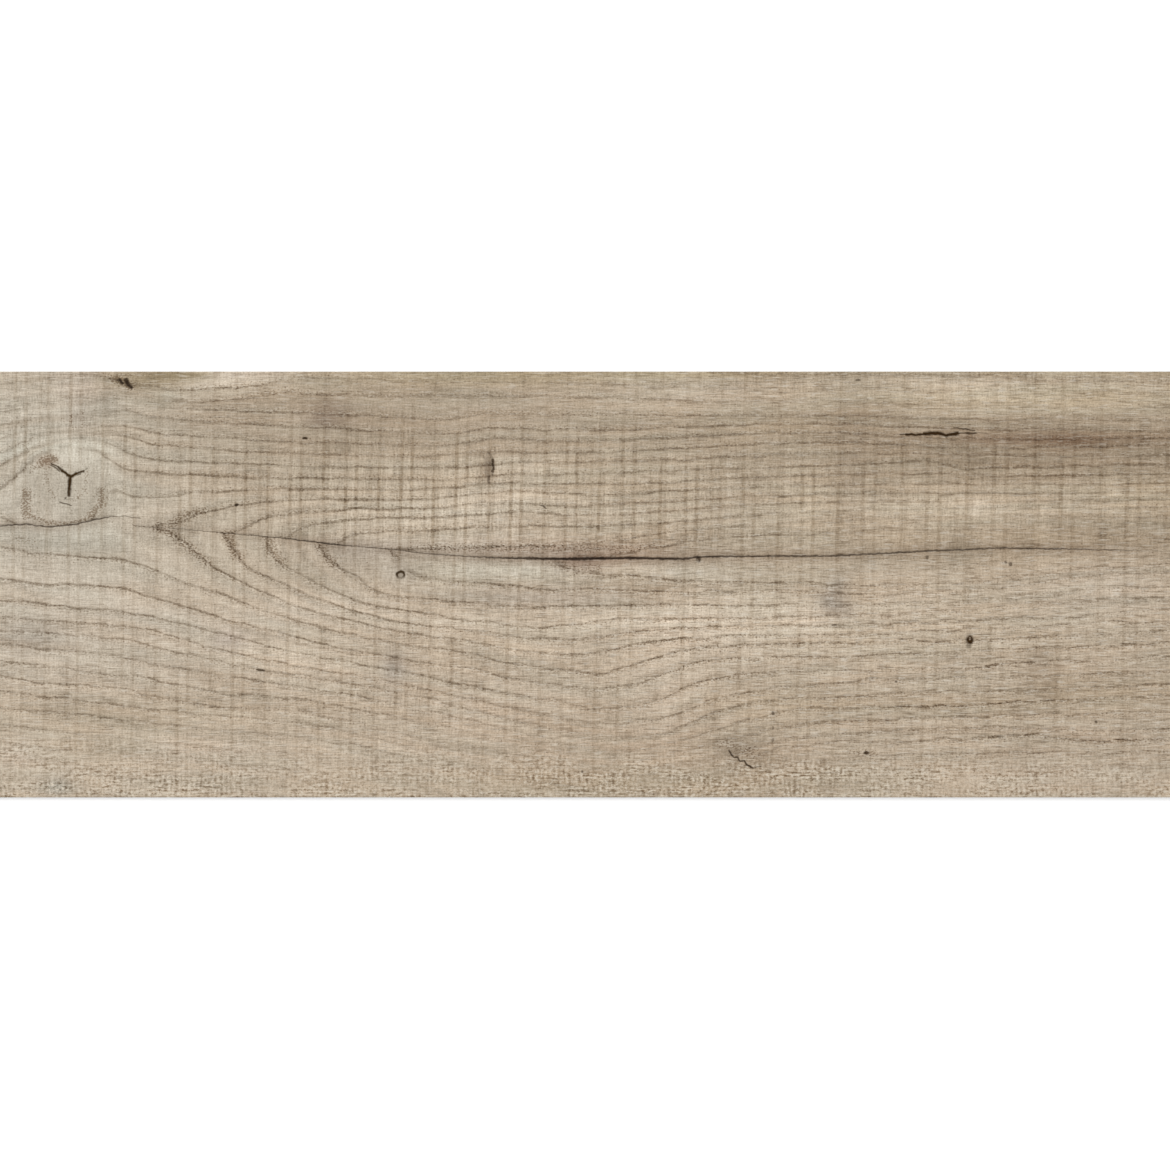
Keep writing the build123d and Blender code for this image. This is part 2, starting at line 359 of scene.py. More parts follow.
# Soft brown speckled marks: points along each, with its half-width and how dense it is
SCUFFS = [
    # where the arches close on the split
    ([(172, 523), (188, 514), (204, 511)], 5.0, 0.7), ([(160, 528), (176, 536), (192, 550)], 5.5, 0.65),
    ([(192, 550), (206, 562)], 4.5, 0.6), ([(228, 534), (231, 545), (238, 557)], 5.5, 0.85),
    ([(270, 541), (272, 551), (282, 562)], 6.0, 0.7), ([(321, 546), (326, 556), (334, 564)], 4.5, 0.75),
    ([(392, 551), (397, 557)], 3.5, 0.4), ([(425, 548), (470, 549), (560, 549), (640, 548)], 3.5, 0.5),
    # the rim of the knot and the brown patch in it
    ([(27, 492), (23, 504), (28, 515)], 4.4, 1.0),
    ([(28, 515), (46, 522), (68, 524), (88, 518)], 2.6, 0.7),
    ([(103, 490), (101, 504), (90, 516)], 4.0, 0.9), ([(40, 464), (47, 459), (54, 459)], 4.5, 0.95),
    ([(38, 467), (26, 470), (19, 477)], 2.4, 0.6), ([(49, 470), (49, 493)], 1.6, 0.35),
    ([(84, 483), (88, 492)], 2.0, 0.35), ([(107, 474), (105, 486)], 2.2, 0.45),
    ([(50, 462), (46, 480), (54, 497)], 2.2, 0.5), ([(86, 472), (85, 490), (74, 501)], 2.2, 0.5),
    ([(71, 415), (72, 430)], 2.2, 0.5), ([(83, 412), (83, 426)], 2.2, 0.4),
    ([(22, 455), (27, 445)], 2.5, 0.4),
    # the knot cut by the far edge
    ([(114, 379), (121, 381), (131, 386)], 4.6, 1.05), ([(102, 376), (150, 375)], 3.0, 0.3),
    # smudges
    ([(722, 742), (738, 748), (756, 753)], 6.0, 0.45), ([(849, 752), (877, 753)], 3.0, 0.5),
    ([(562, 566), (600, 568)], 4.0, 0.4), ([(15, 538), (34, 541)], 4.0, 0.4),
]
# The stretches of the plank that have a material of their own for their cracks and holes
CRACK_STRETCHES = {"left": (U_START, 300.0), "middle": (300.0, 820.0), "right": (820.0, U_END)}
# The filled worm hole and its radius
RING_HOLE = (400.6, 575.0, 4.6)
# The oval scar of a lost twig
SCAR = (488.4, 467.0, 5.2, 14.0)

# The saw's strokes: where the first mark of some of them stands along the plank, and the stroke's number
SAW_STROKES = [
    (-876, -16.2), (14, 0), (566, 10), (622, 11), (686, 12), (743, 13), (802, 14), (863, 15), (927, 16),
    (993, 17), (1061, 18), (1127, 19), (2046, 33),
]
# How far the marks lean to the left for each pixel down, at places along the plank
SAW_LEAN = [(250, 0.0145), (400, 0.0245)]
SAW_LEAN_FROM = 500.0
# The marks of one stroke, as shares of it, and how strong each is, with the first mark first
SAW_MARKS = [(0.15, 1.0), (0.34, 0.9), (0.60, 0.45), (0.75, 0.95), (0.82, 0.4)]
SAW_CORE = 0.014
SAW_REACH = 0.048
# The pale strips between them
SAW_PALE = [(0.25, 0.8), (0.90, 1.0)]
SAW_PALE_CORE = 0.02
SAW_PALE_REACH = 0.075
SAW_COLUMNS = 4  # shades of one stroke


def from_photo(u, v):
    """Where a point of the photograph lies on the plank, in metres."""
    return (u - PHOTO_CENTRE[0]) * PIXEL, (PHOTO_CENTRE[1] - v) * PIXEL


def soft_step(low, high, value):
    """Rises smoothly from 0 at low to 1 at high."""
    t = np.clip((value - low) / (high - low), 0.0, 1.0)
    return t * t * (3.0 - 2.0 * t)


def along(points, u):
    """A value given at a few places along the plank, at every u."""
    places = np.array(points, float)
    return np.interp(u, places[:, 0], places[:, 1])


# Where along the plank the ring lines are worked out, and how they run on past their last points
LINE_U = np.arange(U_START - 40, U_END + 40, 1.0)
LEVEL_OUT = 140.0  # pixels over which a line levels out
STEEPEST = 0.25  # slope that a line may leave its last point with
SWAY = 0.03  # how far it sways for each pixel of the way, up to the limit
SWAY_LIMIT = 400.0
SWAY_LENGTH = 150.0
SWAY_TURN = 0.09  # how far the sway of one ring is behind that of the next


def smooth_line(points, ring):
    """A ring's line at every place of LINE_U. Past the photograph it levels out and sways a little."""
    pts = np.array(points, float)
    v = np.interp(LINE_U, pts[:, 0], pts[:, 1])
    for end, inner, sign in ((pts[0], pts[1], -1.0), (pts[-1], pts[-2], 1.0)):
        outside = (LINE_U - end[0]) * sign
        slope = np.clip((end[1] - inner[1]) / (end[0] - inner[0]), -STEEPEST, STEEPEST) * sign
        away = np.maximum(outside, 0.0)
        drift = slope * LEVEL_OUT * (1.0 - np.exp(-away / LEVEL_OUT))
        sway = SWAY * np.minimum(away, SWAY_LIMIT) * np.sin(away / SWAY_LENGTH + SWAY_TURN * ring * sign)
        v = v + np.where(outside > 0, drift + sway, 0.0)
    reach = int(3 * LINE_SMOOTHING)
    kernel = np.exp(-0.5 * (np.arange(-reach, reach + 1) / LINE_SMOOTHING) ** 2)
    return np.convolve(np.pad(v, reach, mode="edge"), kernel / kernel.sum(), "valid")


# The grid of the printed face: columns by u, rows by v, with the rows near the split bent along it
SPLIT_ROW = 551.0
BEND_REACH = 45.0
COLUMN_SPACING = 11.5
ROW_SPACING = 2.5
# Where the grid is finer: centre, reach and spacing
COLUMN_PLACES = [
    (585, 620, 7.0), (69, 24, 1.9), (489, 9, 1.7), (400.5, 7, 1.5), (698, 5, 1.6), (970, 6, 1.4),
    (745, 18, 2.2), (938, 42, 3.0), (122, 12, 2.2),
]
ROW_PLACES = [
    (551, 3.2, 0.55), (434, 4.5, 1.1), (477, 21, 1.9), (575, 5.5, 1.3), (641, 6, 1.3), (760, 9, 1.8),
    (383, 6, 2.0),
]
GRID_SAMPLES = 6000  # places at which the spacing is worked out


def spaced(low, high, base, fine_places):
    """Grid positions from low to high, base apart and closer at the fine places."""
    t = np.linspace(low, high, GRID_SAMPLES)
    density = np.full_like(t, 1.0 / base)
    for centre, reach, spacing in fine_places:
        near = np.exp(-np.abs((t - centre) / reach) ** 4)
        density = np.maximum(density, near / spacing + (1.0 - near) / base)
    total = np.concatenate([[0.0], np.cumsum((density[1:] + density[:-1]) / 2 * np.diff(t))])
    count = int(math.ceil(total[-1]))
    return np.interp(np.linspace(0.0, total[-1], count + 1), total, t)


def face_grid():
    """The u and v of every point of the printed face."""
    inset = BEVEL_WIDTH / PIXEL
    columns = spaced(U_START + inset, U_END - inset, COLUMN_SPACING, COLUMN_PLACES)
    rows = spaced(EDGE_ABOVE + inset, EDGE_BELOW - inset, ROW_SPACING, ROW_PLACES)
    u, v = np.meshgrid(columns, rows, indexing="ij")
    bend = along(SPLIT_LINE, u) - SPLIT_ROW
    window = np.exp(-(((v - SPLIT_ROW) / BEND_REACH) ** 2))
    return u, v + bend * window


CLOSEST_LINES = 1.5  # pixels between two ring lines
RINGS_PAST = 12  # rings counted on past the last known one
RING_WIDTHS = (4.0, 45.0)  # narrowest and widest ring, in pixels


def ring_lines(rings):
    """Each ring with the u that it starts at and its smooth line."""
    lines = {}
    for ring, points in rings.items():
        starts_inside = points[0][0] > 1
        lines[ring] = (points[0][0] if starts_inside else -math.inf, smooth_line(points, ring))
    return lines


def ring_knots(column_u, rings, heart, split, outward):
    """The known (v, ring count) pairs of one column on one side of the split, from the split outwards."""
    known = [(split, heart)]
    for ring in sorted(rings, reverse=True):
        first_u, line = rings[ring]
        if column_u < first_u or ring > heart:
            continue
        v = float(np.interp(column_u, LINE_U, line))
        last = known[-1][0]
        v = max(v, last + CLOSEST_LINES) if outward > 0 else min(v, last - CLOSEST_LINES)
        known.append((v, ring))
    last_v, last_ring = known[-1]
    known.append((last_v + outward * RINGS_PAST * RING_PITCH, last_ring - RINGS_PAST))
    return known


def ring_field(u, v):
    """The growth-ring count at every point of the face, and the width of a ring there in pixels."""
    far, near = ring_lines(RINGS_FAR), ring_lines(RINGS_NEAR)
    count = np.zeros_like(u)
    for i, column_u in enumerate(u[:, 0]):
        split = float(along(SPLIT_LINE, column_u))
        above = ring_knots(column_u, far, float(along(HEART_FAR, column_u)), split, -1)[::-1]
        below = ring_knots(column_u, near, float(along(HEART_NEAR, column_u)), split, 1)
        count[i] = np.where(v[i] <= split, along(above, v[i]), along(below, v[i]))
    by_row = np.gradient(count, axis=1) / np.gradient(v, axis=1)
    by_column = (np.gradient(count, axis=0) - by_row * np.gradient(v, axis=0)) / np.gradient(u, axis=0)
    width = 1.0 / np.maximum(np.hypot(by_row, by_column), 1.0 / RING_WIDTHS[1])
    return count, np.clip(width, *RING_WIDTHS)


def spot(u, v, cu, cv, ru, rv):
    """A soft spot: 1 at its centre, fading out over its reach."""
    return np.exp(-(((u - cu) / ru) ** 2) - ((v - cv) / rv) ** 2)


def strength(u, v, base, places, highest=1.0):
    """How strong a mark is at every point: a value all over, and what soft spots add to it."""
    added = sum(amount * spot(u, v, *place) for *place, amount in places)
    return np.clip(base + added, 0.0, highest)


def linear(shade):
    """An 8-bit screen shade as linear light."""
    s = np.clip(np.asarray(shade, float) / 255.0, 0.0, 1.0)
    return np.where(s <= 0.04045, s / 12.92, ((s + 0.055) / 1.055) ** 2.4)


def base_shade(u, v):
    """The slow colour of the print, as linear light."""
    shade = np.zeros(u.shape + (3,)) + BASE_SHADE
    for *place, added in SHADES:
        shade += spot(u, v, *place)[..., None] * np.array(added, float)
    return linear(shade)


def segment_distance(u, v, start, end):
    """Distance in pixels from a straight stretch of a crack."""
    du, dv = end[0] - start[0], end[1] - start[1]
    t = np.clip(((u - start[0]) * du + (v - start[1]) * dv) / (du * du + dv * dv), 0.0, 1.0)
    return np.hypot(u - start[0] - t * du, v - start[1] - t * dv)


SCUFF_FADE = (0.25, 1.5)  # where a scuff begins and ends to fade, as shares of its half-width


def scuffs(u, v):
    """How dense the brown specks are at every point."""
    total = np.zeros_like(u)
    for points, half_width, dense in SCUFFS:
        low, high = (share * half_width for share in SCUFF_FADE)
        for start, end in zip(points, points[1:]):
            near = 1.0 - soft_step(low, high, segment_distance(u, v, start, end))
            total = np.maximum(total, dense * near)
    return total


# The embossing: how deep each mark is, and where its wall begins and ends
SPLIT_DEPTH = 0.32 * MILLIMETRE
SPLIT_WALL = (0.3, 2.2)  # pixels from its middle
CRACK_DEPTH = 0.24 * MILLIMETRE
CRACK_WALL = (0.2, 1.4)  # pixels from its middle, and past its half-width
HOLE_DEPTH = 0.55 * MILLIMETRE
HOLE_WALL = (0.35, 1.1)  # shares of its radius
WIDE_HOLE = 3.0  # radius in pixels from which a hole has its full depth
SCAR_DEPTH = 0.14 * MILLIMETRE
SCAR_RIM = (0.9, 0.28)  # where its rim is, and how wide, as shares of its radius
RING_HOLE_RIM = (0.8, 0.35)
RING_DEPTH = 0.05 * MILLIMETRE
RING_GROOVE_PX = 1.9
WAVE_DEPTH = 0.05 * MILLIMETRE
EDGE_FADE = 9.0  # pixels from an edge over which the embossing comes up


def oval(u, v, cu, cv, ru, rv):
    """How far a point is from the middle of an oval, where 1 is on its rim."""
    return np.hypot((u - cu) / ru, (v - cv) / rv)


def dents(u, v):
    """How far the split, the cracks, the holes and the scar are pressed in at every point, in metres."""
    away = np.abs(v - along(SPLIT_LINE, u))
    depth = SPLIT_DEPTH * along(SPLIT_STRENGTH, u) * (1.0 - soft_step(*SPLIT_WALL, away))
    for points, half_width, dark in CRACKS:
        full = CRACK_DEPTH * dark * min(half_width, 1.0)
        for start, end in zip(points, points[1:]):
            away = segment_distance(u, v, start, end)
            near = 1.0 - soft_step(CRACK_WALL[0], half_width + CRACK_WALL[1], away)
            depth = np.maximum(depth, full * near)
    for *place, dark in HOLES:
        full = HOLE_DEPTH * dark * min(place[2] / WIDE_HOLE, 1.0)
        depth = np.maximum(depth, full * (1.0 - soft_step(*HOLE_WALL, oval(u, v, *place))))
    for place, (rim, wide) in ((RING_HOLE + RING_HOLE[-1:], RING_HOLE_RIM), (SCAR, SCAR_RIM)):
        near = np.exp(-(((oval(u, v, *place) - rim) / wide) ** 2))
        depth = np.maximum(depth, SCAR_DEPTH * near)
    return depth


def relief(u, v, ring_offset, clarity):
    """How far the face is pressed in, in metres. The offset is the distance from a ring's line in pixels."""
    groove = RING_DEPTH * clarity * np.exp(-((ring_offset / RING_GROOVE_PX) ** 2))
    wave = 0.5 + 0.25 * np.sin(u / 31.0 + 1.3 * np.sin(v / 57.0)) + 0.25 * np.sin(u / 73.0 + v / 90.0)
    edge = np.minimum(np.minimum(v - v.min(), v.max() - v), np.minimum(u - u.min(), u.max() - u))
    return (dents(u, v) + groove + WAVE_DEPTH * wave) * soft_step(0.0, EDGE_FADE, edge)


def spread(values, loop):
    """Values of the face's points, then its border's for the bevel and once more for the edges."""
    return np.concatenate([values, values[loop], values[loop]])


def add_field(mesh, name, values, loop):
    """Stores a number at each point."""
    field = mesh.attributes.new(name, "FLOAT", "POINT")
    field.data.foreach_set("value", spread(values.ravel(), loop).astype(np.float32))


def add_shade(mesh, name, values, loop):
    """Stores a colour at each point."""
    shades = spread(values.reshape(-1, 3), loop)
    opaque = np.ones(len(shades))
    field = mesh.attributes.new(name, "FLOAT_COLOR", "POINT")
    field.data.foreach_set("color", np.column_stack([shades, opaque]).astype(np.float32).ravel())


def band_faces(upper, lower):
    """The faces between two closed rows of points."""
    return np.stack([np.roll(upper, -1), upper, lower, np.roll(lower, -1)], axis=-1).tolist()


def back_faces(foot, columns, rows):
    """The flat back: one strip for each column, and at each end one face with all points of the end."""
    near = foot[:columns]
    right = foot[columns - 1:columns - 1 + rows]
    far = foot[columns + rows - 2:2 * columns + rows - 2][::-1]
    left = np.roll(foot, 3 - rows - 2 * columns)[:rows]
    strips = np.stack([near[1:-2], far[1:-2], far[2:-1], near[2:-1]], axis=-1).tolist()
    return strips + [[near[1], *left[::-1], far[1]], [far[-2], *right[::-1], near[-2]]]


MIDDLE = (np.array(LOW) + np.array(HIGH))[:2] / 2
TOUCHING = 1e-6  # metres within which a point is on the border


def plank_mesh(u, v, depth):
    """The whole plank as one closed mesh: printed face, bevel, square edges and flat back."""
    columns, rows = u.shape
    x, y = from_photo(u, v)
    face = np.stack([x, y, TOP - depth], axis=-1).reshape(-1, 3)
    at = np.arange(columns * rows).reshape(columns, rows)
    # the border in order: near edge, right end, far edge, left end
    loop = np.concatenate([at[:-1, -1], at[-1, :0:-1], at[:0:-1, 0], at[0, :-1]])
    shoulder = face[loop]
    from_middle = shoulder[:, :2] - MIDDLE
    inner = np.array([LENGTH / 2 - BEVEL_WIDTH, WIDTH / 2 - BEVEL_WIDTH])
    on_side = np.abs(np.abs(from_middle) - inner) < TOUCHING
    shoulder[:, :2] += np.where(on_side, np.sign(from_middle), 0.0) * BEVEL_WIDTH
    shoulder[:, 2] = TOP - BEVEL_DEPTH
    foot = shoulder.copy()
    foot[:, 2] = LOW[2]
    shoulder_at = len(face) + np.arange(len(loop))
    foot_at = shoulder_at + len(loop)
    quads = np.stack([at[:-1, :-1], at[:-1, 1:], at[1:, 1:], at[1:, :-1]], axis=-1).reshape(-1, 4).tolist()
    edges = band_faces(loop, shoulder_at) + band_faces(shoulder_at, foot_at)
    points = np.concatenate([face, shoulder, foot]).tolist()
    mesh = bpy.data.meshes.new("printed_plank")
    mesh.from_pydata(points, [], quads + edges + back_faces(foot_at, columns, rows))
    mesh.update()
    return mesh, len(quads), loop


# The map for baking, in shares of its side: strips of the face, above them the back, then edges and ends
BAKE_SPAN = 545.0 * MILLIMETRE  # length that the side of the map stands for
BAKE_STRIPS = 3
BAKE_GAP = 3.0 * MILLIMETRE
BAKE_START = 0.01
BAKE_LONG = 0.98  # length of the back and of the long edges
BAKE_BACK = (0.775, 0.14)  # where the back lies, and its width
BAKE_EDGES = (0.925, 0.02)  # where the long edges lie, and from one to the other
BAKE_ENDS = (0.5, 0.45)  # from one end to the other, and their length
BAKE_ENDS_AT = 0.97
BAKE_HIGH = 0.015  # height of an edge or an end


def read(items, name, kind, width=1):
    """One setting of all the mesh's items of a kind."""
    values = np.zeros(len(items) * width, kind)
    items.foreach_get(name, values)
    return values


def lay_bake_map(mesh, face_count, rim_count):
    """A map with the face cut into strips side by side, the back above them and the edges above that."""
    points = read(mesh.vertices, "co", float, 3).reshape(-1, 3)
    corners = points[read(mesh.loops, "vertex_index", np.int32)]
    starts = read(mesh.polygons, "loop_start", np.int32)
    totals = read(mesh.polygons, "loop_total", np.int32)
    owner = np.repeat(np.arange(len(totals)), totals)
    centres = np.add.reduceat(corners, starts) / totals[:, None]
    x, y, height = (corners - np.array(LOW)).T
    strip_length = LENGTH / BAKE_STRIPS
    strip = np.clip(np.floor((centres[:, 0] - LOW[0]) / strip_length), 0, BAKE_STRIPS - 1)[owner]
    across = strip * (WIDTH + BAKE_GAP) + BAKE_GAP / 2 + y
    uv = np.stack([across, BAKE_GAP + x - strip * strip_length], axis=-1) / BAKE_SPAN
    back = owner >= face_count + 2 * rim_count
    wall = (owner >= face_count + rim_count) & ~back
    at_end = (np.abs(centres[:, 0] - MIDDLE[0]) > LENGTH / 2 - BEVEL_WIDTH / 2)[owner]
    right, upper = (centres[:, :2] > 0).T[:, owner]
    lengthwise = BAKE_START + BAKE_LONG * x / LENGTH
    high = BAKE_HIGH * height / TOP
    for which, first, second in (
        (back, lengthwise, BAKE_BACK[0] + BAKE_BACK[1] * y / WIDTH),
        (wall & ~at_end, lengthwise, BAKE_EDGES[0] + BAKE_EDGES[1] * upper + high),
        (wall & at_end, BAKE_START + BAKE_ENDS[0] * right + BAKE_ENDS[1] * y / WIDTH, BAKE_ENDS_AT + high),
    ):
        uv[which] = np.stack([first, second], axis=-1)[which]
    layer = mesh.uv_layers.new(name="OFBake")
    layer.data.foreach_set("uv", uv.astype(np.float32).ravel())


class Graph:
    """Short names for the nodes that the materials use."""

    def __init__(self, owner):
        self.tree = owner.node_tree
        self.tree.nodes.clear()

    def node(self, kind, inputs=(), **settings):
        """A new node. Its inputs are given in order, or by name or number."""
        made = self.tree.nodes.new(kind)
        for name, value in settings.items():
            setattr(made, name, value)
        named = inputs if isinstance(inputs, dict) else dict(enumerate(inputs))
        for name, value in named.items():
            if isinstance(value, bpy.types.NodeSocket):
                self.tree.links.new(value, made.inputs[name])
            else:
                made.inputs[name].default_value = value
        return made

    def out(self, kind, inputs=(), socket=0, **settings):
        """One output of a new node."""
        return self.node(kind, inputs, **settings).outputs[socket]

    def math(self, operation, *values, clamp=False):
        return self.out("ShaderNodeMath", values, operation=operation, use_clamp=clamp)

    def times(self, a, b, clamp=False):
        return self.math("MULTIPLY", a, b, clamp=clamp)

    def minus(self, a, b, clamp=False):
        return self.math("SUBTRACT", a, b, clamp=clamp)

    def plus(self, a, b):
        return self.math("ADD", a, b)

    def part_of(self, value, share, base):
        """A share of a value, added to a base."""
        return self.math("MULTIPLY_ADD", value, share, base)

    def size(self, value):
        return self.math("ABSOLUTE", value)

    def vector(self, operation, *values):
        socket = "Value" if operation in ("LENGTH", "DISTANCE", "DOT_PRODUCT") else 0
        return self.out("ShaderNodeVectorMath", values, socket, operation=operation)

    def scale(self, vector, factor):
        """Multiplies a vector or a colour by one number."""
        return self.out("ShaderNodeVectorMath", {0: vector, "Scale": factor}, operation="SCALE")

    def step(self, value, low, high, out_low=0.0, out_high=1.0):
        """A smooth rise from out_low to out_high as the value goes from low to high."""
        inputs = (value, low, high, out_low, out_high)
        return self.out("ShaderNodeMapRange", inputs, interpolation_type="SMOOTHSTEP")

    def field(self, name, socket="Fac"):
        """A number, or another output, that the mesh stores at its points."""
        return self.out("ShaderNodeAttribute", socket=socket, attribute_name=name)

    def noise(self, place, length, height, detail=2.0, roughness=0.5, shift=0.0, depth=None):
        """Noise about 0, in grains of a length along X, a height along Y and, if given, a depth along Z."""
        grain = (1.0 / length, 1.0 / height, 1.0 / depth if depth else 0.0)
        scaled = self.vector("MULTIPLY_ADD", place, grain, (shift, shift * 1.7, shift))
        inputs = {"Vector": scaled, "Scale": 1.0, "Detail": detail, "Roughness": roughness}
        made = self.out("ShaderNodeTexNoise", inputs, noise_dimensions="3D" if depth else "2D")
        return self.minus(made, 0.5)

    def parts(self, vector):
        """The first two numbers of a vector."""
        return self.node("ShaderNodeSeparateXYZ", (vector,)).outputs[:2]

    def pair(self, x, y):
        """A vector from two numbers."""
        return self.out("ShaderNodeCombineXYZ", (x, y))

    def mix(self, how, factor, colour, shade):
        """Multiplies a colour by a shade, or paints it over, as far as the factor says."""
        inputs = {0: factor, 6: colour, 7: (*shade, 1.0)}
        return self.out("ShaderNodeMix", inputs, 2, data_type="RGBA", blend_type=how)

    def tint(self, factor, colour, shade):
        return self.mix("MULTIPLY", factor, colour, shade)

    def largest(self, values):
        """The largest of some values, each of which is made just before it is used."""
        total = None
        for value in values:
            total = value if total is None else self.math("MAXIMUM", total, value)
        return total


def new_material(name):
    """An empty node material."""
    material = bpy.data.materials.new(name)
    material.use_nodes = True
    return material


def plank_place(g):
    """The place on the plank in millimetres."""
    return g.scale(g.out("ShaderNodeTexCoord", socket="Object"), 1.0 / MILLIMETRE)


# The broken ring lines, in millimetres
LINE_SWAY = 1.5
LINE_SHAKE = 0.75
DASH_LENGTH = 7.5
DASH_JOG = 1.35  # from one dash to the next
DASH_LAG = 0.37  # how far the dashes of one ring are behind those of the next, as a share of one
LANE_STEP = 9.7  # keeps the noise of one ring apart from that of the next


def ring_dashes(g, x, nearest, loose):
    """The dashes that a line breaks into where the grain is loose, and how far each is out of line."""
    turn = g.part_of(nearest, DASH_LAG, g.math("DIVIDE", x, DASH_LENGTH))
    dash_number = g.pair(g.math("FLOOR", turn), nearest)
    chance = g.out("ShaderNodeTexWhiteNoise", {"Vector": dash_number}, "Color", noise_dimensions="2D")
    first, second = g.parts(chance)
    jog = g.times(g.times(g.minus(first, 0.5), DASH_JOG), loose)
    from_middle = g.size(g.minus(g.math("FRACT", turn), 0.5))
    gap = g.times(g.step(from_middle, 0.32, 0.5, 0.0, 0.9), loose)
    faint = g.times(g.step(second, 0.0, 0.75, 0.75, 0.0), loose)
    return g.minus(g.minus(1.0, gap), faint, clamp=True), jog


def ring_marks(g, place):
    """Broken ring lines, the brown halo round them, the porous band outside and places along the grain."""
    pitch = g.times(g.field("ring_pitch"), PIXEL_MM)
    sway = g.times(g.noise(place, 11.0, 4.5, 1.0), LINE_SWAY)
    shake = g.times(g.noise(place, 1.2, 1.0, 1.0, shift=3.1), LINE_SHAKE)
    count = g.plus(g.field("ring_count"), g.math("DIVIDE", sway, pitch))
    nearest = g.math("ROUND", count)
    x = g.parts(place)[0]
    flow = g.pair(x, g.times(g.field("ring_count"), RING_PITCH * PIXEL_MM))
    loose = g.field("streak_strength")
    dash, jog = ring_dashes(g, x, nearest, loose)
    offset = g.plus(g.times(g.minus(count, nearest), pitch), g.plus(shake, jog))
    lane = g.pair(x, g.times(nearest, LANE_STEP))
    stretch = g.step(g.noise(lane, 26.0, 3.0, 1.0, shift=8.4), -0.2, 0.14, 0.5, 1.0)
    clarity = g.times(g.field("line_clarity"), g.times(dash, stretch))
    thick = g.part_of(g.field("saw_strength"), 0.2, g.part_of(loose, -0.5, 1.2))
    away = g.math("DIVIDE", g.size(offset), thick)
    profile = g.step(away, 0.12, 0.62, 1.0, 0.0)
    line = g.times(profile, clarity)
    halo = g.times(g.step(away, 0.0, 2.2, 1.0, 0.0), clarity)
    outer = g.step(offset, -3.2, -0.1)
    inner = g.step(offset, 0.1, 0.9, 1.0, 0.0)
    band = g.times(g.times(outer, inner), g.field("line_clarity"))
    return profile, line, halo, band, flow


SAW_SWAY = 0.03  # how far the saw's marks sway, as a share of a stroke
SAW_PALE_TONE = 0.22
STROKE_STEP = 7.3  # keeps the noise of one column apart from that of the next


def strips(g, part, places, core, reach):
    """Upright strips at given shares of a stroke, from 0 to the strength of each."""
    return g.largest(
        g.step(g.size(g.minus(part, share)), core, reach, strong, 0.0) for share, strong in places
    )


def saw_marks(g, place, halo):
    """The frame saw's marks: bars across the plank, the knots where they cross a ring and flat columns."""
    sway = g.times(g.noise(place, 45.0, 160.0, 1.0, shift=5.3), SAW_SWAY)
    turn = g.plus(g.field("saw_turn"), sway)
    part = g.math("FRACT", turn)
    total = strips(g, part, SAW_MARKS, SAW_CORE, SAW_REACH)
    pale = strips(g, part, SAW_PALE, SAW_PALE_CORE, SAW_PALE_REACH)
    uneven = g.step(g.noise(place, 6.0, 26.0, 1.0, 0.6, shift=1.9), -0.2, 0.15, 0.4, 1.0)
    bars = g.times(g.times(total, uneven), g.field("saw_strength"))
    dots = g.step(g.noise(place, 1.2, 1.0, 1.0, 0.5, shift=21.7), -0.14, 0.12, 0.15, 1.0)
    knots = g.times(g.times(bars, halo), dots, clamp=True)
    y = g.parts(place)[1]
    stroke = g.math("FLOOR", g.times(turn, SAW_COLUMNS))
    columns = g.noise(g.pair(g.times(stroke, STROKE_STEP), y), 1.0, 22.0, 1.0, 0.5, shift=23.3)
    columns = g.part_of(pale, SAW_PALE_TONE, columns)
    return bars, knots, g.times(columns, g.field("saw_strength"))


def cracks_in(stretch):
    """The straight parts of the cracks on one stretch of the plank: two ends, half-width and how dark."""
    found = []
    for points, half_width, dark in CRACKS:
        if stretch[0] <= points[0][0] < stretch[1]:
            found += [(start, end, half_width, dark) for start, end in zip(points, points[1:])]
    return found


def places_in(stretch, places):
    """The places, given by their centre first, that lie on one stretch of the plank."""
    return [place for place in places if stretch[0] <= place[0] < stretch[1]]


CRACK_CORE, CRACK_RIM = 0.3, 1.3  # where a crack begins to fade and is gone, as shares of its half-width
CRACK_NUDGE = (0.9, 0.8)  # how ragged the cracks are along and across the plank, in millimetres
SPLIT_NUDGE = 0.75


def crack_marks(g, place, stretch):
    """The cracks and the holes of one stretch of the plank, from 0 to 1."""
    nudge_x = g.times(g.noise(place, 1.8, 2.6, 1.0, shift=2.3), CRACK_NUDGE[0])
    nudge_y = g.times(g.noise(place, 2.8, 1.8, 1.0, shift=6.1), CRACK_NUDGE[1])
    flat = g.vector("MULTIPLY", g.vector("ADD", place, g.pair(nudge_x, nudge_y)), (1.0, 1.0, 0.0))
    kinds = (
        (crack_part, cracks_in(stretch)),
        (hole_mark, places_in(stretch, HOLES)),
        (ring_hole, places_in(stretch, [RING_HOLE])),
        (scar_mark, places_in(stretch, [SCAR])),
    )
    total = g.largest(kind(g, flat, *given) for kind, all_given in kinds for given in all_given)
    # painted highlights: each glint lightens part of the dark of its hole
    for painted_glint in places_in(stretch, PAINTED_HOLE_GLINTS):
        total = g.times(total, g.minus(1.0, hole_mark(g, flat, *painted_glint)))
    return total


def split_mark(g, place):
    """The long split, from 0 to 1, and the soft shade beside it."""
    jitter = g.times(g.noise(place, 2.2, 2.2, 1.0, shift=7.7), SPLIT_NUDGE)
    away = g.size(g.plus(g.field("split_offset"), jitter))
    ratio = g.math("DIVIDE", away, g.field("split_half"))
    strong = g.field("split_strength")
    line = g.times(g.step(ratio, CRACK_CORE, CRACK_RIM, 1.0, 0.0), strong)
    soft = g.times(g.step(away, 0.4, 4.0, 1.0, 0.0), strong)
    return line, soft


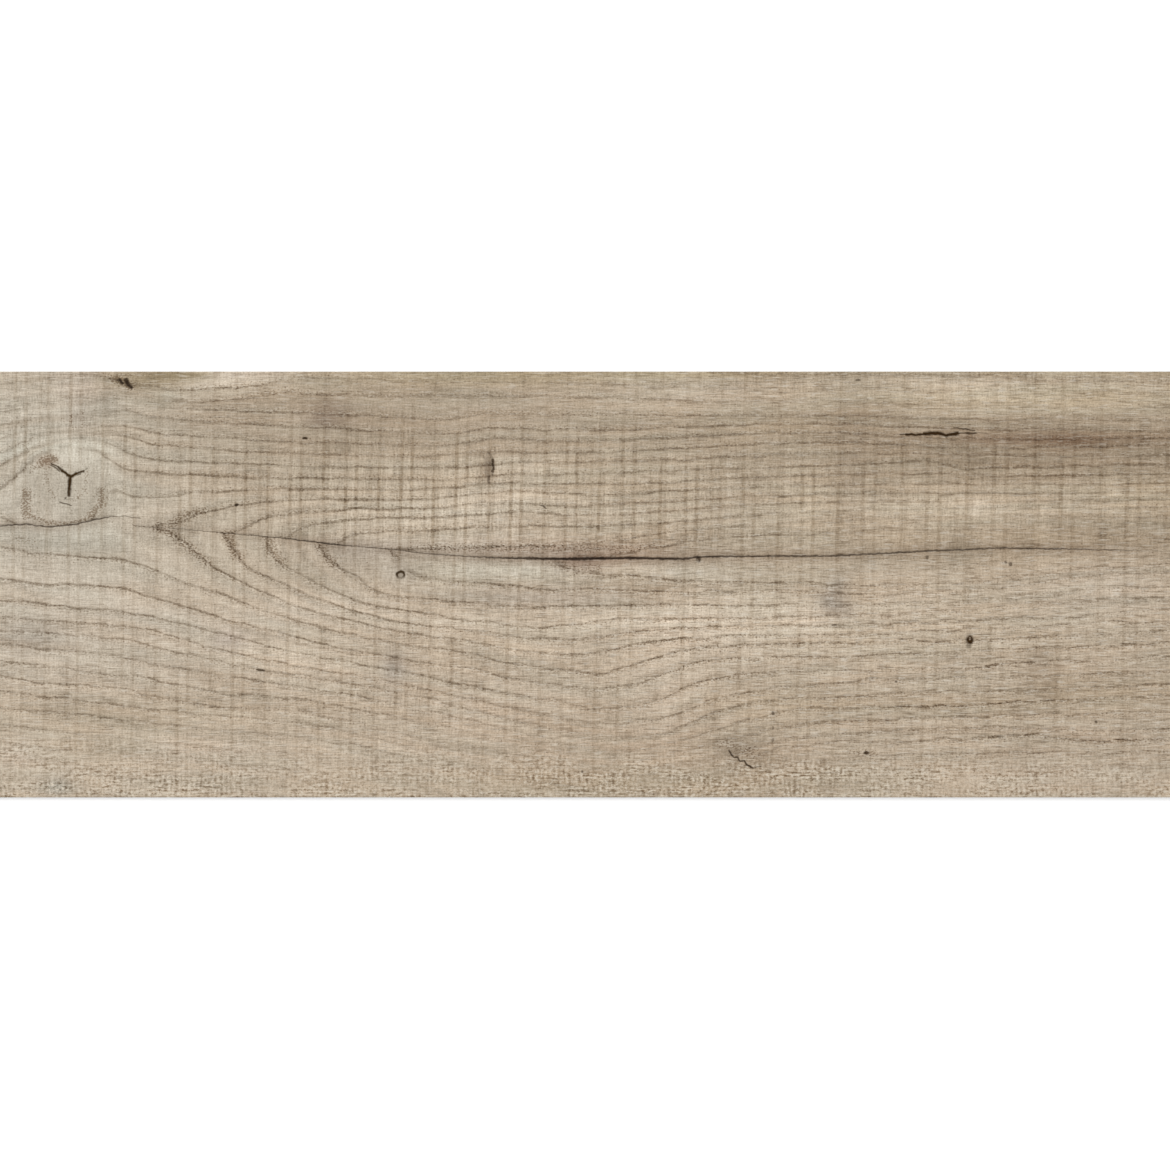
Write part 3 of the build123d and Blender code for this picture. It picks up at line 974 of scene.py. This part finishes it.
def crack_part(g, flat, start, end, half_width, dark):
    """One straight part of a crack, dark along its middle and 0 past its width."""
    a = Vector((*from_photo(*start), 0.0)) / MILLIMETRE
    b = Vector((*from_photo(*end), 0.0)) / MILLIMETRE
    run = b - a
    local = g.vector("SUBTRACT", flat, tuple(a))
    share = g.math("DIVIDE", g.vector("DOT_PRODUCT", local, tuple(run)), run.length_squared, clamp=True)
    away = g.vector("DISTANCE", local, g.scale(tuple(run), share))
    width = half_width * PIXEL_MM
    return g.step(away, CRACK_CORE * width, CRACK_RIM * width, dark, 0.0)


def from_centre(g, flat, cu, cv, ru, rv):
    """How far a place is from the middle of an oval, where 1 is on its rim."""
    x, y = from_photo(cu, cv)
    local = g.vector("SUBTRACT", flat, (x / MILLIMETRE, y / MILLIMETRE, 0.0))
    return g.vector("LENGTH", g.vector("MULTIPLY", local, (1.0 / ru / PIXEL_MM, 1.0 / rv / PIXEL_MM, 0.0)))


def hole_mark(g, flat, cu, cv, ru, rv, dark):
    """One worm hole or speck, dark in the middle."""
    return g.step(from_centre(g, flat, cu, cv, ru, rv), 0.5, 1.15, dark, 0.0)


def ring_hole(g, flat, cu, cv, radius):
    """The filled worm hole: a dark rim, darkest above, round a lighter middle."""
    away = from_centre(g, flat, cu, cv, radius, radius)
    rim = g.step(g.size(g.minus(away, 0.75)), 0.12, 0.5, 0.97, 0.0)
    y = g.parts(flat)[1]
    middle = from_photo(cu, cv)[1] / MILLIMETRE
    return g.times(rim, g.step(y, middle - 1.6, middle - 0.3, 0.3, 1.0))


def scar_mark(g, flat, cu, cv, ru, rv):
    """The brown middle of the oval scar."""
    return g.step(from_centre(g, flat, cu, cv, ru, rv), 0.7, 1.05, 0.3, 0.0)


# The rough-sawn strip, in millimetres
COMB_LENGTH = 2.1
ROW_HEIGHT = 1.5
WAVE_DRIFT = 8.0
WAVE_SHARE = 0.6
STIPPLE_SHARE = 7.5


def waves(g, along_axis, length, drift):
    """Even waves of a length along an axis, from -1 to 1, that drift a little."""
    return g.math("SINE", g.part_of(along_axis, math.tau / length, g.times(drift, WAVE_DRIFT)))


def rough_marks(g, place):
    """Pale and dark flecks of rough-sawn wood: a stipple, with faint upright combs and level rows in it."""
    x, y = g.parts(place)
    combs = waves(g, x, COMB_LENGTH, g.noise(place, 5.0, 6.0, 1.0, shift=41.3))
    rows = waves(g, y, ROW_HEIGHT, g.noise(place, 12.0, 3.0, 1.0, shift=43.9))
    which = g.step(g.noise(place, 12.0, 4.0, 1.0, shift=47.1), -0.1, 0.1, 0.15, 0.85)
    weave = g.times(g.part_of(g.minus(combs, rows), which, rows), WAVE_SHARE)
    weave = g.part_of(g.noise(place, 2.6, 1.3, 3.0, 0.8, shift=45.1), STIPPLE_SHARE, weave)
    patchy = g.step(g.noise(place, 22.0, 6.0, 2.0, shift=53.3), -0.2, 0.14, 0.35, 1.0)
    rough = g.times(g.field("rough_sawn"), patchy)
    pale = g.times(g.step(weave, 0.25, 1.1), rough)
    dark = g.times(g.step(weave, -1.2, -0.35, 1.0, 0.0), rough)
    return pale, dark


# Grain of the bare wood: length and height in millimetres, detail, roughness and shift of its noise
PLANK_GRAIN = {
    "fibre": (6.0, 0.62, 1.0, 0.6, 0.7),
    "hatch": (0.75, 4.5, 1.0, 0.55, 2.9),
    "grit": (0.75, 0.6, 0.0, 0.5, 11.3),
    "specks": (0.95, 0.6, 1.0, 0.4, 4.2),
}
# The same for what follows the growth rings
RING_GRAIN = {
    "streak": (30.0, 1.5, 2.0, 0.6, 16.2),
    "blotch": (60.0, 5.0, 2.0, 0.5, 14.1),
    "warmth": (45.0, 7.0, 1.0, 0.5, 17.9),
}
# Sparse specks: length and height, the noise that they begin and are full at, its shift and where they are
SPECKLES = {
    "flecks": (1.4, 0.6, 0.08, 0.16, 9.6, "band"),
    "dark_hairs": (9.0, 0.6, 0.14, 0.2, 12.5, "streaky"),
    "pale_hairs": (6.0, 0.6, 0.13, 0.2, 31.5, "streaky"),
    "cream": (16.0, 1.3, 0.08, 0.24, 35.7, "streaky"),
}
# How bright the bare wood is, and how much each grain adds to it
WOOD_TONE = 1.03
FIBRE_TONE = 0.95
TONES = {"streak": 0.32, "hatch": 0.34, "columns": 0.3, "grit": 0.38, "blotch": 0.45}
# Shades that the bare wood is multiplied by where it is bright, dark, warm and cool: what they go by,
# the values of it that they begin and end at, how strong they are at each, and the shade
WOOD_TINTS = [
    ("tone", (1.0, 1.35, 0.0, 1.0), (1.0, 1.025, 1.055)),
    ("tone", (0.65, 1.0, 1.0, 0.0), (1.0, 0.98, 0.945)),
    ("warmth", (-0.05, 0.2, 0.0, 0.8), (1.015, 0.99, 0.965)),
    ("warmth", (-0.2, 0.05, 0.8, 0.0), (0.98, 1.004, 1.01)),
]
# What lies on the wood in turn, how strong it is (None leaves it as it is) and its shade, which is a screen
# shade that is painted over the wood (MIX) or the share of the light that it leaves (MULTIPLY)
LAYERS = [
    ("cream", 0.4, "MIX", (220, 208, 190)),
    ("halo", 0.4, "MULTIPLY", (0.80, 0.74, 0.67)),
    ("bars", 0.48, "MULTIPLY", (0.62, 0.555, 0.47)),
    ("knots", None, "MULTIPLY", (0.45, 0.385, 0.30)),
    ("dark_hairs", 0.7, "MULTIPLY", (0.40, 0.33, 0.26)),
    ("pale_hairs", 0.5, "MIX", (234, 226, 212)),
    ("flecks", 0.6, "MIX", (240, 230, 213)),
    ("rough_pale", 0.95, "MIX", (228, 216, 197)),
    ("rough_dark", None, "MULTIPLY", (0.42, 0.35, 0.27)),
    ("pores", None, "MULTIPLY", (0.36, 0.29, 0.22)),
    ("scuff", 0.72, "MULTIPLY", (0.40, 0.315, 0.24)),
    ("line", None, "MULTIPLY", (0.235, 0.17, 0.105)),
]
SPLIT_SIDE_STRENGTH = 0.5
SPLIT_SIDE_TINT = (0.5, 0.43, 0.38)
SPLIT_TINT = (0.06, 0.035, 0.02)
CRACK_TINT = (0.07, 0.036, 0.0)
# The wear layer
FACE_ROUGHNESS = 0.56
LINE_ROUGHNESS = 0.1  # what a ring line adds
FIBRE_HEIGHT = 0.8
LINE_HEIGHT = -0.7
BUMP_STRENGTH = 0.35
BUMP_DISTANCE = 0.12 * MILLIMETRE
SPECULAR = 0.1


def wood_marks(g, place):
    """Everything that the print shows but the split and the cracks, by name."""
    marks = {}
    marks["profile"], marks["ring_line"], marks["halo"], band, flow = ring_marks(g, place)
    marks["bars"], marks["knots"], marks["columns"] = saw_marks(g, place, marks["halo"])
    marks["rough_pale"], marks["rough_dark"] = rough_marks(g, place)
    marks["band"] = g.times(band, g.field("pore_strength"))
    marks["streaky"] = g.field("streak_strength")
    for name, grain in PLANK_GRAIN.items():
        marks[name] = g.noise(place, *grain)
    for name, grain in RING_GRAIN.items():
        marks[name] = g.noise(flow, *grain)
    marks["hatch"] = g.times(marks["hatch"], g.plus(g.field("saw_strength"), 0.5))
    marks["pores"] = g.times(g.step(marks["specks"], 0.06, 0.15), marks["band"])
    for name, (length, height, low, high, shift, where) in SPECKLES.items():
        sparse = g.step(g.noise(place, length, height, 1.0, 0.4, shift), low, high)
        marks[name] = g.times(sparse, marks[where])
    marks["scuff"] = g.step(g.part_of(g.field("scuff"), 0.42, marks["specks"]), 0.2, 0.32)
    marks["line"] = g.times(marks["ring_line"], g.step(marks["grit"], -0.14, 0.1, 0.6, 1.0))
    return marks


def wood_colour(g, marks):
    """The colour of the wood with its marks laid over it in turn."""
    loose_fibre = g.times(g.part_of(marks["streaky"], 0.5, 0.35), marks["fibre"])
    tone = g.part_of(loose_fibre, FIBRE_TONE, WOOD_TONE)
    for name, share in TONES.items():
        tone = g.part_of(marks[name], share, tone)
    marks["tone"] = tone
    colour = g.scale(g.field("base_shade", "Color"), tone)
    for name, limits, shade in WOOD_TINTS:
        colour = g.tint(g.step(marks[name], *limits), colour, shade)
    for name, share, how, shade in LAYERS:
        factor = g.times(marks[name], share) if share else marks[name]
        colour = g.mix(how, factor, colour, tuple(linear(shade)) if how == "MIX" else shade)
    return colour


def printed_face(name, stretch=None):
    """The printed wood under its matt wear layer, with the cracks of a stretch if one is given."""
    material = new_material(name)
    g = Graph(material)
    place = plank_place(g)
    marks = wood_marks(g, place)
    colour = wood_colour(g, marks)
    split, beside = split_mark(g, place)
    colour = g.tint(g.times(beside, SPLIT_SIDE_STRENGTH), colour, SPLIT_SIDE_TINT)
    colour = g.tint(split, colour, SPLIT_TINT)
    if stretch:
        colour = g.tint(crack_marks(g, place, stretch), colour, CRACK_TINT)
    height = g.part_of(marks["fibre"], FIBRE_HEIGHT, g.times(marks["profile"], LINE_HEIGHT))
    finish(g, colour, height, g.part_of(marks["ring_line"], LINE_ROUGHNESS, FACE_ROUGHNESS))
    return material


def finish(g, colour, height, roughness):
    """Joins colour, relief and roughness into the surface of matt vinyl."""
    relief_inputs = {"Strength": BUMP_STRENGTH, "Distance": BUMP_DISTANCE, "Height": height}
    bump = g.out("ShaderNodeBump", relief_inputs)
    inputs = {"Base Color": colour, "Roughness": roughness, "Specular IOR Level": SPECULAR, "Normal": bump}
    g.node("ShaderNodeOutputMaterial", {"Surface": g.out("ShaderNodeBsdfPrincipled", inputs)})


VINYL_SHADE = (150, 144, 136)
VINYL_TONES = (0.35, 0.2, 0.3)  # what grain, clouds and sanding lines add to it
VINYL_ROUGHNESS = 0.7
CLOUD_ROUGHNESS = 0.2
SANDING_HEIGHT = 0.6


def filled_vinyl():
    """The edges and back: grey-beige filled vinyl, mottled, with fine sanding lines along the plank."""
    material = new_material("filled_vinyl")
    g = Graph(material)
    place = plank_place(g)
    grain = g.noise(place, 0.6, 0.6, 2.0, 0.6, shift=1.1, depth=0.4)
    cloud = g.noise(place, 14.0, 14.0, 3.0, 0.5, shift=4.8, depth=2.0)
    sanding = g.noise(place, 70.0, 0.8, 2.0, 0.6, shift=6.4, depth=0.5)
    tone = 1.0
    for part, share in zip((grain, cloud, sanding), VINYL_TONES):
        tone = g.part_of(part, share, tone)
    colour = g.scale(tuple(linear(VINYL_SHADE)), tone)
    height = g.part_of(sanding, SANDING_HEIGHT, grain)
    finish(g, colour, height, g.part_of(cloud, CLOUD_ROUGHNESS, VINYL_ROUGHNESS))
    return material


CRACK_REACH = 9.0  # pixels round a crack that are drawn by the material of its stretch
SHARP_ANGLE = math.radians(25.0)


def near_cracks(u, v, stretch):
    """The numbers of the faces that lie within reach of a crack or a hole of one stretch of the plank."""
    mid_u = (u[:-1, :-1] + u[1:, 1:]) / 2
    mid_v = (v[:-1, :-1] + v[1:, 1:]) / 2
    near = np.zeros(mid_u.shape, bool)
    for start, end, half_width, _ in cracks_in(stretch):
        near |= segment_distance(mid_u, mid_v, start, end) < half_width + CRACK_REACH
    for cu, cv, *sizes in places_in(stretch, HOLES + [RING_HOLE, SCAR]):
        near |= np.hypot(mid_u - cu, mid_v - cv) < max(sizes) + CRACK_REACH
    return np.flatnonzero(near)


def make_plank():
    """The dressed plank, in place of the plain solid."""
    u, v = face_grid()
    count, width = ring_field(u, v)
    clarity = strength(u, v, LINE_CLARITY, LINE_PLACES)
    ring_offset = np.abs(count - np.round(count)) * width
    mesh, face_count, loop = plank_mesh(u, v, relief(u, v, ring_offset, clarity))
    rim_count = len(loop)
    fields = {
        "ring_count": count,
        "ring_pitch": width,
        "line_clarity": clarity,
        "saw_strength": strength(u, v, SAW_STRENGTH, SAW_PLACES, STRONGEST),
        "pore_strength": strength(u, v, PORE_STRENGTH, PORE_PLACES),
        "streak_strength": strength(u, v, STREAK_STRENGTH, STREAK_PLACES, STRONGEST),
        "rough_sawn": strength(u, v, 0.0, ROUGH_PLACES),
        "scuff": scuffs(u, v),
        "split_offset": (v - along(SPLIT_LINE, u)) * PIXEL_MM,
        "split_half": along(SPLIT_HALF_WIDTH, u) * PIXEL_MM,
        "split_strength": along(SPLIT_STRENGTH, u),
        "saw_turn": along(SAW_STROKES, u + along(SAW_LEAN, u) * (v - SAW_LEAN_FROM)) + SAW_MARKS[0][0],
    }
    for name, values in fields.items():
        add_field(mesh, name, values, loop)
    add_shade(mesh, "base_shade", base_shade(u, v), loop)
    lay_bake_map(mesh, face_count, rim_count)
    mesh.materials.append(printed_face("printed_vinyl_face"))
    mesh.materials.append(filled_vinyl())
    slots = np.zeros(len(mesh.polygons), np.int32)
    slots[face_count + rim_count:] = 1
    for name, stretch in CRACK_STRETCHES.items():
        slots[near_cracks(u, v, stretch)] = len(mesh.materials)
        mesh.materials.append(printed_face(f"printed_vinyl_cracks_{name}", stretch))
    mesh.polygons.foreach_set("material_index", slots)
    mesh.polygons.foreach_set("use_smooth", np.arange(len(mesh.polygons)) < face_count)
    mesh.set_sharp_from_angle(angle=SHARP_ANGLE)
    piece = bpy.data.objects.new("printed_plank", mesh)
    bpy.context.scene.collection.objects.link(piece)
    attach(piece, "root")
    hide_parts("plank")


WHITE = (1.0, 1.0, 1.0, 1.0)
FLOOR_SIDE = 12.0
FLOOR_DROP = 0.2 * MILLIMETRE
FLOOR_NEAR = 0.9  # past this distance the floor fades to plain white
FLOOR_FAR = 2.2
FLOOR_SHADE = (0.82, 0.82, 0.82, 1.0)  # for the light that it throws on the plank
FLOOR_GLOW = 0.32  # lifts the floor to white where the camera sees it


def seen_directly(g):
    """1 for rays that come from the camera, straight, mirrored or through glass."""
    path = g.node("ShaderNodeLightPath")
    return g.largest(path.outputs[f"Is {kind} Ray"] for kind in ("Camera", "Glossy", "Transmission"))


def make_floor():
    """A plain white floor just under the plank, which shows white and keeps the plank's shadow."""
    half = FLOOR_SIDE / 2
    z = LOW[2] - FLOOR_DROP
    corners = [(-half, -half, z), (half, -half, z), (half, half, z), (-half, half, z)]
    mesh = bpy.data.meshes.new("floor")
    mesh.from_pydata(corners, [], [(0, 1, 2, 3)])
    floor = bpy.data.objects.new("floor", mesh)
    bpy.context.scene.collection.objects.link(floor)
    material = new_material("pale_floor")
    g = Graph(material)
    plain = g.out("ShaderNodeBsdfDiffuse", {"Color": FLOOR_SHADE})
    seen = g.out("ShaderNodeBsdfDiffuse", {"Color": WHITE})
    glow = g.out("ShaderNodeEmission", {"Strength": FLOOR_GLOW})
    lit = g.out("ShaderNodeAddShader", (seen, glow))
    white = g.out("ShaderNodeEmission")
    away = g.vector("LENGTH", g.out("ShaderNodeTexCoord", socket="Object"))
    fading = g.out("ShaderNodeMixShader", (g.step(away, FLOOR_NEAR, FLOOR_FAR), lit, white))
    mixed = g.out("ShaderNodeMixShader", (seen_directly(g), plain, fading))
    g.node("ShaderNodeOutputMaterial", {"Surface": mixed})
    mesh.materials.append(material)


WORLD_LEVEL = 0.62
LAMP_POWER = 26.0
LAMP_SIDE = 1.6
LAMP_PLACE = (-1.1, 1.2, 1.9)


def make_light():
    """Soft studio light: an even white room and one large lamp from the upper left."""
    scene = bpy.context.scene
    world = bpy.data.worlds.new("studio")
    scene.world = world
    world.use_nodes = True
    g = Graph(world)
    room = g.out("ShaderNodeBackground", {"Color": WHITE, "Strength": WORLD_LEVEL})
    white = g.out("ShaderNodeBackground", {"Color": WHITE})
    mixed = g.out("ShaderNodeMixShader", (seen_directly(g), room, white))
    g.node("ShaderNodeOutputWorld", {"Surface": mixed})
    lamp_data = bpy.data.lights.new("key_lamp", "AREA")
    lamp_data.energy = LAMP_POWER
    lamp_data.size = LAMP_SIDE
    lamp = bpy.data.objects.new("key_lamp", lamp_data)
    lamp.location = LAMP_PLACE
    lamp.rotation_euler = (-Vector(LAMP_PLACE)).to_track_quat("-Z", "Y").to_euler()
    scene.collection.objects.link(lamp)


LENS = 85.0
SENSOR = 36.0


def make_camera():
    """The photograph's view: straight down on the printed face, with the plank running out at both sides."""
    data = bpy.data.cameras.new("camera")
    data.lens = LENS
    data.sensor_width = SENSOR
    camera = bpy.data.objects.new("camera", data)
    view_width = PHOTO_SIDE * PIXEL
    distance = view_width / 2 / (SENSOR / 2 / LENS)
    x, y = from_photo(PHOTO_SIDE / 2, PHOTO_SIDE / 2)
    camera.location = (x, y, TOP + distance)
    bpy.context.scene.collection.objects.link(camera)
    bpy.context.scene.camera = camera


bpy.context.scene.view_settings.view_transform = "Standard"
make_plank()
make_floor()
make_light()
make_camera()
